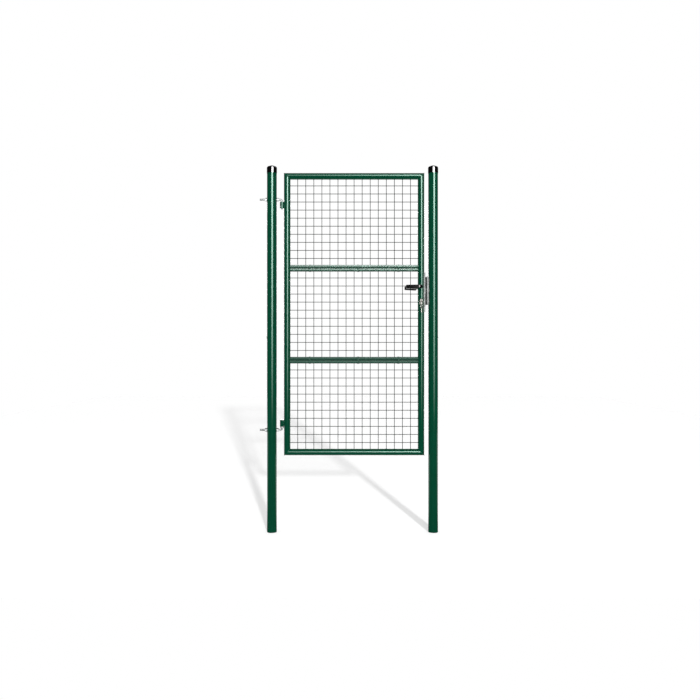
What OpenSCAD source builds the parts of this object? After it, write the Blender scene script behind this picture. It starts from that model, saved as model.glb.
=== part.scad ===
// Single-leaf mesh garden gate between two round posts, in millimetres.
// The origin is the centre of the hinge post's foot. +X runs to the latch post,
// +Y to the back of the gate and +Z up. The leaf is drawn closed.

/* [Posts] */
// Distance between the centres of the two posts
post_spacing = 1000; // [800:10:1400]
// Height of the posts above ground
post_h = 2250; // [1900:10:2700]
// Outside diameter of a post
post_d = 60; // [54:1:90]
// Wall of a post
post_wall = 2; // [1.5:0.1:4]

/* [Post caps] */
// Skirt of a cap below the top of its post
cap_skirt = 26; // [12:1:40]
// Rise of a cap above the top of its post
cap_rise = 22; // [14:1:40]
// Moulded wall of a cap
cap_wall = 1.2; // [1:0.1:3]
// Radius of the cap's shoulder
cap_shoulder = 10; // [4:0.5:12]
// Play between a cap and its post
cap_play = 0.2; // [0.1:0.05:0.5]

/* [Leaf frame] */
// Ground to the underside of the leaf
leaf_bottom = 475; // [100:5:600]
// Height of the leaf
leaf_h = 1750; // [1300:10:2100]
// Opening between the hinge post and the leaf
hinge_gap = 45; // [41:1:60]
// Opening between the leaf and the latch post
latch_gap = 25; // [22:1:34]
// Outside diameter of the frame tube
frame_d = 40; // [36:1:50]
// Wall of the frame tube
frame_wall = 1.5; // [1.2:0.1:3]

/* [Mesh] */
// Pitch of the welded wires, both ways
mesh_pitch = 50; // [30:1:70]
// Diameter of a wire
wire_d = 4; // [2.5:0.1:5]
// Depth that two crossing wires are welded into each other
weld_sink = 0.3; // [0.1:0.05:0.8]
// Space between a wire's end and the tube that it stands on
wire_gap = 0.2; // [0.1:0.05:0.5]

/* [Clamp rails] */
// Height of a clamp rail
rail_h = 41; // [38:1:60]
// Sheet of a clamp strip
rail_sheet = 1.5; // [1:0.1:3]
// Distance of a bead from the middle of its rail
bead_offset = 10.5; // [9:0.5:13]
// Width of a bead where it leaves the strip
bead_w = 18; // [14:0.5:19]
// Height of a bead above the strip
bead_h = 8; // [5:0.5:9]
// Length of a wire's end beyond the edge wire that the rail holds
wire_tail = 3; // [1:0.5:5]
// Play between a spacer disc and the wires on both sides of it
disc_play = 0.5; // [0.3:0.1:2]
// Diameter of a clamp bolt
clamp_bolt_d = 6; // [5:1:8]
// Diameter of a clamp bolt's head
clamp_head_d = 12; // [10:0.5:14]

/* [Hinges] */
// Outside diameter of a hinge sleeve
sleeve_d = 25; // [22:0.5:30]
// Length of a hinge sleeve
sleeve_h = 42; // [30:1:60]
// Distance of a sleeve's middle from the end of the leaf
sleeve_inset = 200; // [120:5:350]
// Diameter of the hinge bolts
hook_d = 12; // [10:1:14]
// Radius of the bend in a hinge bolt, on its centre line
hook_bend = 12; // [12:1:22]
// Length of a hinge bolt beyond the outer side of the post
hook_tail = 45; // [30:1:80]
// Running play of a hinge bolt in its sleeve, on the radius
hook_play = 0.08; // [0.03:0.01:0.1]

/* [Lock] */
// Height of the lever spindle above ground
spindle_z = 1519; // [1200:1:1650]
// Distance from the spindle down to the key cylinder
cylinder_drop = 85; // [70:1:95]
// Height of the lock's forend
forend_h = 244; // [200:1:260]
// Height of the lock's case, behind the forend
case_h = 166; // [130:1:180]
// Width of the forend, front to back
forend_w = 22; // [18:1:26]
// How far the forend stands out of the stile
forend_out = 6; // [3:0.5:9]
// Distance of a lever's middle from the middle of the leaf
lever_out = 60; // [50:1:75]
// Reach of a lever from its spindle
lever_reach = 98; // [80:1:125]
// Height of a lever's grip at its neck
lever_h = 27; // [20:0.5:32]
// Height of a lever's grip at its tip
lever_tip_h = 22; // [16:0.5:26]
// Depth of a lever's grip
lever_t = 16; // [12:0.5:18]
// Radius of a lever's elbow, on its centre line
lever_elbow = 20; // [14:0.5:24]
// Side of the square spindle
spindle_side = 8; // [7:1:10]

/* [Strike] */
// Sheet of the strike
strike_sheet = 3; // [2:0.5:4]
// Height of the strike
strike_h = 175; // [150:1:230]
// Distance of the strike's front face from the middle of the leaf
strike_front = 13; // [12:0.5:18]
// Distance of the strike's back face from the middle of the leaf
strike_back = 22; // [21:0.5:25]
// Space between the strike's web and the side of the post
strike_stand = 6; // [3:0.5:9]
// Length of the rear stop beyond the web, towards the leaf
stop_reach = 12; // [9:0.5:14]
// Thickness of the rubber strip on the stop
lining_t = 1.6; // [1:0.1:2]

/* [Wire lugs] */
// Height of the lugs for the fence's line wire above ground
lug_z = 1205; // [300:5:1800]
// How far a lug stands out of its post
lug_out = 7; // [5:0.5:15]

/* [Hidden] */
$fn = 72;
eps = 0.01;
seat = 0.1;
post_r = post_d / 2;
frame_r = frame_d / 2;
leaf_l = post_r + hinge_gap;
leaf_r = post_spacing - post_r - latch_gap;
leaf_w = leaf_r - leaf_l;
leaf_top = leaf_bottom + leaf_h;
open_l = leaf_l + frame_d;
open_r = leaf_r - frame_d;
open_bottom = leaf_bottom + frame_d;
open_top = leaf_top - frame_d;
stile_x = leaf_r - frame_r;

bay_h = (open_top - open_bottom - 2 * rail_h) / 3;
lower_rail_z = open_bottom + bay_h + rail_h / 2;
upper_rail_z = lower_rail_z + bay_h + rail_h;

wire_r = wire_d / 2;
wire_sides = 8;
wire_flat = wire_r * cos(180 / wire_sides);
wire_y = wire_flat - weld_sink / 2;
uprights = floor((open_r - open_l) / mesh_pitch);
upright_1 = (open_l + open_r - (uprights - 1) * mesh_pitch) / 2;

bead_r = (bead_w * bead_w / 4 + bead_h * bead_h) / (2 * bead_h);
front_face = wire_flat - wire_y + seat;
back_face = wire_y + wire_flat + seat;
strip_out = rail_sheet + bead_h;
disc_d = mesh_pitch - wire_d - 2 * disc_play;
head_seat = strip_out - bead_r + sqrt(pow(bead_r, 2) - pow(bead_offset - clamp_head_d / 2, 2)) + seat;
disc_x = [for (k = [1, floor(uprights / 2), uprights - 3]) upright_1 + (k + 0.5) * mesh_pitch];

pin_x = leaf_l - sleeve_d / 2 - seat;
upper_sleeve_z = leaf_top - sleeve_inset;
lower_sleeve_z = leaf_bottom + sleeve_inset;
hook_leg = sleeve_h + 6;
collar_h = 8;
hook_rise = hook_bend + 2;
nut_h = 10;
nut_flats = 19;
washer_d = 24;
washer_t = 2.5;

cylinder_z = spindle_z - cylinder_drop;
cylinder_out = 10;
tongue_z = spindle_z - 24.5;
tongue_h = 33;
tongue_w = 13;
bolt_h = 20;
bolt_w = 9;
case_z = (spindle_z + cylinder_z) / 2;
lock_z = case_z + 9.5;
strike_z = case_z + 19.5;
forend_face = leaf_r + forend_out;
case_w = 15;
case_back = frame_r - frame_wall - 2.5;
fit_gap = 0.2;
hub_d = 13;
neck_h = 18.5;
spindle_half = lever_out - lever_elbow;

key_t = 2.2;
key_bow_d = 26;
key_hole_d = 8;
key_hole_in = 5;
key_neck = 4;
key_bow_y = -frame_r - cylinder_out - key_neck - key_bow_d / 2;
ring_d = 30;
ring_wire = 2;
ring_r = (ring_d - ring_wire) / 2;
ring_z = cylinder_z - key_hole_d / 2 + ring_wire / 2 + seat - ring_r;

web_x = post_spacing - post_r - strike_stand - strike_sheet;

// ---- shapes that repeat ----

module tube(d, wall, h) {
    difference() {
        cylinder(d = d, h = h);
        translate([0, 0, -eps]) cylinder(d = d - 2 * wall, h = h + 2 * eps);
    }
}

// A frame tube along +Z with both ends mitred towards +X.
module mitred_tube(length) {
    intersection() {
        tube(frame_d, frame_wall, length);
        rotate([90, 0, 0])
            linear_extrude(height = frame_d + 2, center = true)
                polygon([[-frame_r, 0], [frame_r, frame_d],
                         [frame_r, length - frame_d], [-frame_r, length]]);
    }
}

// Wires that lie across the leaf, in front, at the heights given.
module cross_wires(heights) {
    reach_l = open_l + wire_gap;
    reach_r = open_r - wire_gap;
    for (z = heights)
        translate([reach_l, -wire_y, z]) rotate([0, 90, 0]) rotate([0, 0, 180 / wire_sides])
            cylinder(d = wire_d, h = reach_r - reach_l, $fn = wire_sides);
}

// Upright wires, behind the cross wires, from one height to another.
module upright_wires(from_z, to_z) {
    for (i = [0 : uprights - 1])
        translate([upright_1 + i * mesh_pitch, wire_y, from_z]) rotate([0, 0, 180 / wire_sides])
            cylinder(d = wire_d, h = to_z - from_z, $fn = wire_sides);
}

// Section of a clamp strip: x is the distance out from the mesh, y is up.
module strip_section(face) {
    centre = face + strip_out - bead_r;
    difference() {
        union() {
            translate([face, -rail_h / 2]) square([rail_sheet, rail_h]);
            intersection() {
                for (s = [-1, 1]) translate([centre, s * bead_offset]) circle(r = bead_r);
                translate([face, -rail_h / 2]) square([strip_out, rail_h]);
            }
        }
        for (s = [-1, 1]) translate([centre, s * bead_offset]) circle(r = bead_r - rail_sheet);
    }
}

// A clamp strip between the stiles, coped to them and drilled for its bolts.
module clamp_strip(z, side, face) {
    difference() {
        translate([open_l - frame_r, 0, z])
            rotate([90, 0, 90])
                linear_extrude(height = open_r - open_l + frame_d)
                    scale([side, 1]) strip_section(face);
        for (x = [open_l - frame_r, open_r + frame_r])
            translate([x, 0, z - rail_h]) cylinder(r = frame_r + seat, h = 2 * rail_h);
        for (x = disc_x)
            translate([x, 0, z]) rotate([90, 0, 0])
                cylinder(d = clamp_bolt_d + 1, h = 4 * strip_out, center = true);
    }
}

// A hexagon nut with its corners chamfered at both ends.
module nut(flats, h) {
    round = flats / 2 + 0.2;
    corner = flats / 2 / cos(30) + 0.1;
    intersection() {
        cylinder(r = flats / 2 / cos(30), h = h, $fn = 6);
        rotate_extrude()
            polygon([[0, 0], [round, 0], [corner, (corner - round) * 0.6],
                     [corner, h - (corner - round) * 0.6], [round, h], [0, h]]);
    }
}

// A hinge sleeve with its ends chamfered.
module sleeve(z) {
    chamfer = 1;
    r = sleeve_d / 2;
    bore = hook_d / 2 + hook_play;
    translate([pin_x, 0, z - sleeve_h / 2])
        rotate_extrude()
            polygon([[bore, 0], [r - chamfer, 0], [r, chamfer], [r, sleeve_h - chamfer],
                     [r - chamfer, sleeve_h], [bore, sleeve_h]]);
}

// An L-shaped hinge bolt: a rod through the post, a bend, and a leg towards -Z.
// Its rod lies at z = 0.
module hook() {
    start = -post_r - hook_tail;
    chamfer = 1.5;
    r = hook_d / 2;
    translate([start, 0, 0]) rotate([0, 90, 0])
        rotate_extrude()
            polygon([[0, 0], [r - chamfer, 0], [r, chamfer],
                     [r, pin_x - hook_bend - start], [0, pin_x - hook_bend - start]]);
    translate([pin_x - hook_bend, 0, -hook_bend]) rotate([90, 0, 0])
        rotate_extrude(angle = 90) translate([hook_bend, 0]) circle(r = r);
    translate([pin_x, 0, -hook_bend - hook_leg])
        rotate_extrude()
            polygon([[0, 0], [r - chamfer, 0], [r, chamfer], [r, hook_leg], [0, hook_leg]]);
}

// Places a hinge bolt's own pieces: the upper one hangs into its sleeve from above,
// the lower one stands in its sleeve from below.
module at_hooks() {
    translate([0, 0, upper_sleeve_z + sleeve_h / 2 + hook_rise]) children();
    translate([0, 0, lower_sleeve_z - sleeve_h / 2 - collar_h - hook_rise]) mirror([0, 0, 1]) children();
}

// Both outer faces of a post along X, from which its nuts and washers are set.
module at_post_faces() {
    for (s = [-1, 1]) scale([s, 1, 1]) translate([post_r + seat, 0, 0]) rotate([0, 90, 0]) children();
}

module post(x) {
    translate([x, 0, 0]) tube(post_d, post_wall, post_h);
}

module cap(x) {
    inner = post_r + cap_play;
    outer = inner + cap_wall;
    crown = 6;
    roof = 2.5;
    flat = outer - cap_shoulder;
    crown_r = (flat * flat + crown * crown) / (2 * crown);
    crown_z = cap_rise - crown;
    shoulder_z = crown_z - cap_shoulder;
    translate([x, 0, post_h])
        rotate_extrude()
            difference() {
                union() {
                    translate([0, -cap_skirt]) square([outer, cap_skirt + shoulder_z]);
                    translate([0, shoulder_z]) square([flat, cap_shoulder]);
                    intersection() {
                        translate([flat, shoulder_z]) circle(r = cap_shoulder);
                        translate([flat, shoulder_z]) square(cap_shoulder);
                    }
                    intersection() {
                        translate([0, cap_rise - crown_r]) circle(r = crown_r);
                        translate([0, crown_z]) square([flat, crown]);
                    }
                }
                translate([0, -cap_skirt]) square([inner, cap_skirt]);
                square([post_r - post_wall - 1, crown_z - roof]);
            }
}

// ---- sub-parts on the posts ----

module hinge_post() {
    color("darkgreen") difference() {
        post(0);
        at_hooks() rotate([0, 90, 0]) cylinder(d = hook_d + 1, h = 2 * post_d, center = true);
    }
}

module latch_post() { color("darkgreen") post(post_spacing); }

module hinge_post_cap() { color([0.06, 0.06, 0.07]) cap(0); }

module latch_post_cap() { color([0.06, 0.06, 0.07]) cap(post_spacing); }

module upper_hinge_bolt() {
    color("silver") translate([0, 0, upper_sleeve_z + sleeve_h / 2 + hook_rise]) hook();
}

module lower_hinge_bolt() {
    collar_r = sleeve_d / 2 - 1;
    leg_bottom = lower_sleeve_z - sleeve_h / 2 - collar_h;
    color("silver") {
        translate([0, 0, leg_bottom - hook_rise]) mirror([0, 0, 1]) hook();
        translate([pin_x, 0, leg_bottom]) cylinder(r = collar_r, h = collar_h - seat);
    }
}

module hinge_nuts() {
    color("silver") at_hooks() at_post_faces()
        translate([0, 0, washer_t + seat]) difference() {
            nut(nut_flats, nut_h);
            translate([0, 0, -eps]) cylinder(d = hook_d + 0.1, h = nut_h + 2 * eps);
        }
}

module hinge_washers() {
    color("silver") at_hooks() at_post_faces() tube(washer_d, (washer_d - hook_d) / 2 - 0.5, washer_t);
}

// The strike is bent sheet: a front leg, a web with slots, and a rear leg that
// runs on towards the leaf as a stop. Both legs are cut to the round of the post.
module strike() {
    function reach(y) = post_spacing - sqrt(pow(post_r, 2) - pow(y - strike_sheet, 2));
    slot_w = tongue_w + 5;
    stop_x = web_x - stop_reach;
    color("gainsboro") difference() {
        translate([0, 0, strike_z - strike_h / 2]) linear_extrude(height = strike_h) {
            translate([web_x, -strike_front]) square([strike_sheet, strike_front + strike_back]);
            translate([web_x, -strike_front]) square([reach(strike_front) - web_x, strike_sheet]);
            translate([stop_x, strike_back - strike_sheet]) square([reach(strike_back) - stop_x, strike_sheet]);
        }
        translate([post_spacing, 0, 0]) cylinder(r = post_r + seat, h = post_h);
        for (slot = [[tongue_z, tongue_h], [cylinder_z, bolt_h]])
            translate([web_x - eps, -slot_w / 2, slot[0] - slot[1] / 2 - 4])
                cube([strike_sheet + 2 * eps, slot_w, slot[1] + 8]);
    }
}

// A rubber strip with bevelled edges on the front of the stop, which the leaf closes against.
module stop_lining() {
    margin = 1;
    bevel = 0.6;
    wide = stop_reach - margin;
    color([0.1, 0.1, 0.1])
        translate([web_x - stop_reach + margin / 2, strike_back - strike_sheet - seat, strike_z - strike_h / 2 + margin])
            linear_extrude(height = strike_h - 2 * margin)
                polygon([[0, 0], [0, bevel - lining_t], [bevel, -lining_t], [wide - bevel, -lining_t],
                         [wide, bevel - lining_t], [wide, 0]]);
}

module wire_lugs() {
    lug_h = 18;
    lug_t = 3;
    root = 3;
    color("darkgreen") for (side = [[0, -1], [post_spacing, 1]])
        translate([side[0], 0, lug_z]) scale([side[1], 1, 1]) rotate([90, 0, 0]) difference() {
            linear_extrude(height = lug_t, center = true) difference() {
                union() {
                    translate([post_r + seat, -lug_h / 2]) square([lug_out - root, lug_h]);
                    translate([post_r + lug_out - root, -lug_h / 2 + root]) square([root, lug_h - 2 * root]);
                    for (z = [-1, 1]) translate([post_r + lug_out - root, z * (lug_h / 2 - root)]) circle(r = root);
                }
                translate([post_r + lug_out / 2, 0]) circle(d = lug_out / 2, $fn = 24);
            }
        }
}

// ---- sub-parts of the leaf ----

module hinge_stile() {
    color("green") translate([leaf_l + frame_r, 0, leaf_bottom]) mitred_tube(leaf_h);
}

module lock_stile() {
    slot_h = forend_h + 2 * fit_gap;
    slot_w = forend_w + 2 * fit_gap;
    color("green") difference() {
        translate([stile_x, 0, leaf_bottom]) mirror([1, 0, 0]) mitred_tube(leaf_h);
        translate([stile_x, -slot_w / 2, lock_z - slot_h / 2]) cube([frame_d, slot_w, slot_h]);
        translate([stile_x, 0, spindle_z]) rotate([90, 0, 0]) cylinder(d = hub_d, h = 2 * frame_d, center = true);
        translate([stile_x, 0, cylinder_z]) rotate([90, 0, 0])
            linear_extrude(height = 2 * frame_d, center = true) cylinder_section(fit_gap);
    }
}

module top_rail() {
    color("green") translate([leaf_l, 0, leaf_top - frame_r]) rotate([0, 90, 0]) mitred_tube(leaf_w);
}

module bottom_rail() {
    color("green") translate([leaf_l, 0, leaf_bottom + frame_r])
        mirror([0, 0, 1]) rotate([0, 90, 0]) mitred_tube(leaf_w);
}

module upper_hinge_sleeve() { color("green") sleeve(upper_sleeve_z); }

module lower_hinge_sleeve() { color("green") sleeve(lower_sleeve_z); }

module lower_mesh() {
    edge = lower_rail_z - bead_offset;
    rows = floor((edge - open_bottom - wire_r - 1) / mesh_pitch);
    color("gray") union() {
        cross_wires([for (i = [0 : rows]) edge - i * mesh_pitch]);
        upright_wires(open_bottom + wire_gap, edge + wire_tail);
    }
}

module middle_mesh() {
    low = lower_rail_z + bead_offset;
    high = upper_rail_z - bead_offset;
    rows = round((high - low) / mesh_pitch);
    color("gray") union() {
        cross_wires([for (i = [0 : rows]) low + i * (high - low) / rows]);
        upright_wires(low - wire_tail, high + wire_tail);
    }
}

module upper_mesh() {
    edge = upper_rail_z + bead_offset;
    rows = floor((open_top - edge - wire_r - 1) / mesh_pitch);
    color("gray") union() {
        cross_wires([for (i = [0 : rows]) edge + i * mesh_pitch]);
        upright_wires(edge - wire_tail, open_top - wire_gap);
    }
}

module lower_clamp_front() { color("seagreen") clamp_strip(lower_rail_z, -1, front_face); }

module lower_clamp_back() { color("seagreen") clamp_strip(lower_rail_z, 1, back_face); }

module upper_clamp_front() { color("seagreen") clamp_strip(upper_rail_z, -1, front_face); }

module upper_clamp_back() { color("seagreen") clamp_strip(upper_rail_z, 1, back_face); }

// Spacer discs between the strips, each in a square of the mesh, so that the bolts
// don't crush the strips together.
module clamp_discs() {
    r = disc_d / 2;
    bore = clamp_bolt_d / 2 + 0.3;
    chamfer = 0.6;
    thick = back_face - front_face - seat;
    color("green") for (x = disc_x, z = [lower_rail_z, upper_rail_z])
        translate([x, front_face, z]) rotate([-90, 0, 0]) rotate_extrude()
            polygon([[bore, 0], [r - chamfer, 0], [r, chamfer], [r, thick - chamfer],
                     [r - chamfer, thick], [bore, thick]]);
}

// Bolts through both strips and a disc. A head and a nut each bear on the two beads of their strip.
module clamp_bolts() {
    head_h = 3;
    tail = 5;
    nut_t = 5;
    front = front_face + head_seat;
    grip = front + back_face + head_seat;
    ball = (clamp_head_d * clamp_head_d / 4 + head_h * head_h) / (2 * head_h);
    color("silver") for (x = disc_x, z = [lower_rail_z, upper_rail_z])
        translate([x, -front, z]) rotate([-90, 0, 0]) {
            rotate_extrude() intersection() {
                translate([0, ball - head_h]) circle(r = ball);
                translate([0, -head_h]) square([clamp_head_d / 2, head_h]);
            }
            cylinder(d = clamp_bolt_d, h = grip + nut_t + tail);
            translate([0, 0, grip]) nut(10 * clamp_bolt_d / 6, nut_t);
        }
}

// ---- lock, levers and keys ----

// Section of a profile cylinder, grown by a clearance: x across, y up.
module cylinder_section(grow) {
    barrel = 8.5;
    tail_w = 10;
    tail = 24.5;
    circle(r = barrel + grow);
    translate([-tail_w / 2 - grow, -tail + tail_w / 2]) square([tail_w + 2 * grow, tail - tail_w / 2]);
    translate([0, -tail + tail_w / 2]) circle(r = tail_w / 2 + grow);
}

module lock_case() {
    inside = frame_r - frame_wall;
    root = stile_x + frame_r / 2;
    color("gainsboro") difference() {
        union() {
            translate([stile_x - case_back, -case_w / 2, case_z - case_h / 2])
                cube([case_back + inside - 4, case_w, case_h]);
            translate([root, -forend_w / 2, lock_z - forend_h / 2])
                cube([forend_face - root, forend_w, forend_h]);
        }
        translate([stile_x, 0, spindle_z]) rotate([90, 0, 0]) cylinder(d = hub_d, h = frame_d, center = true);
        translate([stile_x, 0, cylinder_z]) rotate([90, 0, 0])
            linear_extrude(height = frame_d, center = true) cylinder_section(fit_gap);
        for (slot = [[tongue_z, tongue_h, tongue_w], [cylinder_z, bolt_h, bolt_w]])
            translate([root + 1, -slot[2] / 2 - fit_gap, slot[0] - slot[1] / 2 - fit_gap])
                cube([frame_d, slot[2] + 2 * fit_gap, slot[1] + 2 * fit_gap]);
    }
}

// The sprung tongue and, below it, the dead bolt, drawn back flush with the forend.
module latch_tongue() {
    out = 2;
    root = stile_x + frame_r / 2 + 1 + fit_gap;
    tip = forend_face + out;
    color("silver") {
        translate([0, 0, tongue_z - tongue_h / 2]) linear_extrude(height = tongue_h)
            polygon([[root, -tongue_w / 2], [tip, -tongue_w / 2], [tip, -tongue_w / 2 + 2],
                     [tip - 9, tongue_w / 2], [root, tongue_w / 2]]);
        translate([root, -bolt_w / 2, cylinder_z - bolt_h / 2]) cube([forend_face - root, bolt_w, bolt_h]);
    }
}

// The cylinder, with its plug set off by a fine groove and a keyway in each end.
module lock_cylinder() {
    slot_w = key_t + 0.4;
    slot_h = 9;
    slot_l = 22;
    plug_r = 6.5;
    groove = 0.4;
    half = frame_r + cylinder_out;
    color("silver") translate([stile_x, 0, cylinder_z]) difference() {
        rotate([90, 0, 0]) linear_extrude(height = 2 * half, center = true) cylinder_section(0);
        for (s = [-1, 1]) {
            translate([-slot_w / 2, s > 0 ? half - slot_l : -half - eps, -slot_h / 2])
                cube([slot_w, slot_l + eps, slot_h]);
            translate([0, s * half, 0]) rotate([90, 0, 0]) difference() {
                cylinder(r = plug_r + groove, h = 2 * groove, center = true);
                cylinder(r = plug_r, h = 3 * groove, center = true);
            }
        }
    }
}

// Outline of a key with its blade along +X: x = 0 is the middle of the bow.
module key_outline(blade) {
    difference() {
        union() {
            circle(d = key_bow_d);
            translate([key_bow_d / 2 - 2, -4]) square([blade + 2, 8]);
        }
        translate([-key_hole_in, 0]) circle(d = key_hole_d);
    }
}

module key() {
    color("silver") translate([stile_x, key_bow_y, cylinder_z])
        rotate([90, 0, 90]) linear_extrude(height = key_t, center = true) key_outline(key_neck + 20);
}

module key_ring() {
    color("silver") translate([stile_x, key_bow_y - key_hole_in, ring_z]) rotate([90, 0, 0])
        rotate_extrude() translate([ring_r, 0]) circle(d = ring_wire, $fn = 24);
}

// A second key on the ring, turned on it so that its side shows, with its cuts along one edge.
module spare_key() {
    twist = 50;
    slack = 0.5;
    blade = 26;
    cut_pitch = 4;
    cuts = [0.9, 1.6, 0.6, 1.3, 1];
    hole_z = ring_z - ring_r + ring_wire / 2 + slack - key_hole_d / 2;
    color("silver") translate([stile_x, key_bow_y - key_hole_in, hole_z - key_hole_in])
        rotate([0, 0, twist]) rotate([90, 90, 0]) linear_extrude(height = key_t, center = true) difference() {
            key_outline(blade);
            for (i = [0 : len(cuts) - 1])
                translate([key_bow_d / 2 + 4 + i * cut_pitch, 4])
                    polygon([[-cuts[i] - 0.5, eps], [-0.5, -cuts[i]], [0.5, -cuts[i]], [cuts[i] + 0.5, eps]]);
            translate([key_bow_d / 2 + blade, 0]) for (s = [-1, 1])
                polygon([[eps, s * 1.5], [eps, s * 5], [-3, s * 5]]);
        }
}

// A lever's grip seen from the front: level on top, deeper than the neck behind its
// shoulder, and narrowing to a tip with cut corners.
module grip_outline() {
    top = neck_h / 2;
    tip_top = top - 1.5;
    tip_bottom = tip_top - lever_tip_h;
    shoulder = -lever_elbow - 7;
    corner = 3;
    polygon([[-lever_elbow, top], [corner - lever_reach, tip_top], [-lever_reach, tip_top - corner],
             [-lever_reach, tip_bottom + corner], [corner - lever_reach, tip_bottom],
             [shoulder - 3, top - lever_h], [shoulder, top - lever_h + 1], [shoulder + 6, -top],
             [-lever_elbow, -top]]);
}

// The same grip seen from above, its tip rounded front and back.
module grip_plan() {
    round = 5;
    half = lever_t / 2;
    translate([round - lever_reach, -half]) square([lever_reach - round - lever_elbow, lever_t]);
    translate([-lever_reach, round - half]) square([round, lever_t - 2 * round]);
    for (s = [-1, 1]) translate([round - lever_reach, s * (half - round)]) circle(r = round);
}

// Section of a lever: two arcs that meet it above and below, fullest at its middle.
module lever_section(middle) {
    arc_r = 24;
    intersection() {
        for (s = [-1, 1]) translate([s * (arc_r - lever_t / 2), middle]) circle(r = arc_r);
    }
}

// Section of a lever's neck and elbow, with its corners cut.
module neck_section() {
    half = lever_t / 2;
    top = neck_h / 2;
    cut = 3;
    intersection() {
        lever_section(0);
        polygon([[-half, cut - top], [cut - half, -top], [half - cut, -top], [half, cut - top],
                 [half, top - cut], [half - cut, top], [cut - half, top], [-half, top - cut]]);
    }
}

// A lever: a neck out from the stile, an elbow, and the grip, which runs towards the hinges.
module lever(side) {
    inner = frame_r + 0.5;
    bend_y = lever_out - lever_elbow;
    color([0.06, 0.06, 0.07]) translate([stile_x, 0, spindle_z]) scale([1, side, 1]) difference() {
        union() {
            translate([0, inner, 0]) rotate([-90, 0, 0]) linear_extrude(height = bend_y - inner) neck_section();
            translate([-lever_elbow, bend_y, 0]) rotate_extrude(angle = 90)
                translate([lever_elbow, 0]) neck_section();
            intersection() {
                translate([0, lever_out, 0]) rotate([90, 0, 0])
                    linear_extrude(height = lever_t + 2, center = true) grip_outline();
                translate([0, lever_out, 0]) rotate([90, 0, 90])
                    linear_extrude(height = 2 * lever_reach + 2, center = true) lever_section(-2);
                translate([0, lever_out, -lever_h]) linear_extrude(height = 2 * lever_h) grip_plan();
            }
        }
        translate([-spindle_side / 2 - 0.1, 0, -spindle_side / 2 - 0.1])
            cube([spindle_side + 0.2, spindle_half + 0.5, spindle_side + 0.2]);
    }
}

module front_lever() { lever(-1); }

module back_lever() { lever(1); }

module spindle() {
    color("silver") translate([stile_x - spindle_side / 2, -spindle_half, spindle_z - spindle_side / 2])
        cube([spindle_side, 2 * spindle_half, spindle_side]);
}

hinge_post();
latch_post();
hinge_post_cap();
latch_post_cap();
upper_hinge_bolt();
lower_hinge_bolt();
hinge_nuts();
hinge_washers();
strike();
stop_lining();
wire_lugs();
hinge_stile();
lock_stile();
top_rail();
bottom_rail();
upper_hinge_sleeve();
lower_hinge_sleeve();
lower_mesh();
middle_mesh();
upper_mesh();
lower_clamp_front();
lower_clamp_back();
upper_clamp_front();
upper_clamp_back();
clamp_discs();
clamp_bolts();
lock_case();
latch_tongue();
lock_cylinder();
key();
key_ring();
spare_key();
front_lever();
back_lever();
spindle();
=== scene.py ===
import math
import random

import bmesh
import bpy
from mathutils import Matrix, Vector


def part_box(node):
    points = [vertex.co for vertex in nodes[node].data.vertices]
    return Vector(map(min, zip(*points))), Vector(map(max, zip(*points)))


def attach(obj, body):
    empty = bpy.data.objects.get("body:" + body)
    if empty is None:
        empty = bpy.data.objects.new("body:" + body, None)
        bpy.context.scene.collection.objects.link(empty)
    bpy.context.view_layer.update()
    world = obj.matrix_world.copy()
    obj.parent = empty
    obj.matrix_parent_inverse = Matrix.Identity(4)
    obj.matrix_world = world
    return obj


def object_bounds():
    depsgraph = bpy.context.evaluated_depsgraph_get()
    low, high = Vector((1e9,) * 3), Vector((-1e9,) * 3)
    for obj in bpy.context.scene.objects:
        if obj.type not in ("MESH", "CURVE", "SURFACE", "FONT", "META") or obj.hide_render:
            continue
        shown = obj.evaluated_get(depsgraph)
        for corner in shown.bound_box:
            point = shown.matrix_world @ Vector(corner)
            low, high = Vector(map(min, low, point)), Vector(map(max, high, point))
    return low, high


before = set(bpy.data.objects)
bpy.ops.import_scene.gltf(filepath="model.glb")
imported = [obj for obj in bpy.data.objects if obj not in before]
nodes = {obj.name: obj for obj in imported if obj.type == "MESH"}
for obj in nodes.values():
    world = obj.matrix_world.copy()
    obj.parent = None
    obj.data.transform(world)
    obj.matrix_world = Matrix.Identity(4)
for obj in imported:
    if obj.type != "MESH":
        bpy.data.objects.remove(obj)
cad_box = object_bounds()


# ---- Posts ----
# Two round steel tubes, zinc coated and then powder coated moss green. They are cut square
# at the top, where the caps go on, and square at the foot, where they stand at ground level.
MM = 0.001


def add_node(tree, kind, *links, **values):
    """Adds a shader node. links are (input, socket that feeds it); values set inputs or properties."""
    made = tree.nodes.new(kind)
    for name, value in values.items():
        if hasattr(made, name):
            setattr(made, name, value)
        else:
            made.inputs[name.replace("_", " ")].default_value = value
    for name, source in links:
        tree.links.new(source, made.inputs[name])
    return made


def math_node(tree, operation, first, second=0.0, clamp=False):
    """Adds a Math node on two values, each a socket or a number, and returns its result."""
    made = tree.nodes.new("ShaderNodeMath")
    made.operation = operation
    made.use_clamp = clamp
    for index, value in enumerate((first, second)):
        if isinstance(value, (int, float)):
            made.inputs[index].default_value = value
        else:
            tree.links.new(value, made.inputs[index])
    return made.outputs[0]


def noise(tree, place, scale, detail, roughness=0.5):
    """Returns a noise from 0 to 1 that has scale lumps to the metre."""
    made = add_node(
        tree, "ShaderNodeTexNoise", ("Vector", place), Scale=scale, Detail=detail, Roughness=roughness
    )
    return made.outputs["Fac"]


def off_middle(tree, value, amount):
    """Returns how far a value from 0 to 1 lies from its middle, times an amount."""
    return math_node(tree, "MULTIPLY", math_node(tree, "SUBTRACT", value, 0.5), amount)


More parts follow.
